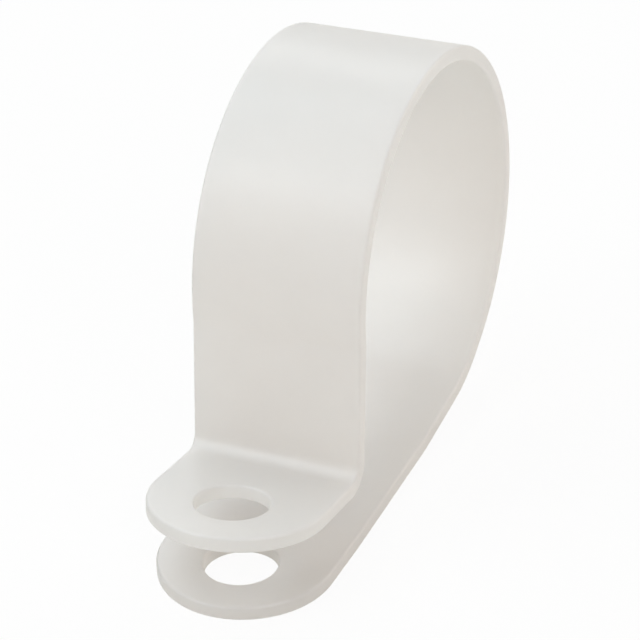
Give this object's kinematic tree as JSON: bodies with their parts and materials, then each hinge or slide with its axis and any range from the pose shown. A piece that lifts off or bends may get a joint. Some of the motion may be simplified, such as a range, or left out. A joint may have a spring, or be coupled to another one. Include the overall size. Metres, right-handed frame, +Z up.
{
  "type": "p-type cable clamp",
  "caption": "P-type cable clamp: a curled nylon strap whose loop holds a cable bundle, with stacked screw tabs at its ends.",
  "frame": {"origin": "middle of the clamp's outline seen from above, on the plane of the lower tab's flat underside", "axes": "+X across the strap, along the cable; +Y from the screw tabs to the back of the loop; +Z up, off the surface that the clamp is screwed to"},
  "size_m": [0.0126, 0.0425, 0.0304],
  "materials": {
    "natural_nylon": "milky translucent natural nylon, satin"
  },
  "bodies": {
    "root": {"strap": "natural_nylon"}
  },
  "joints": []
}
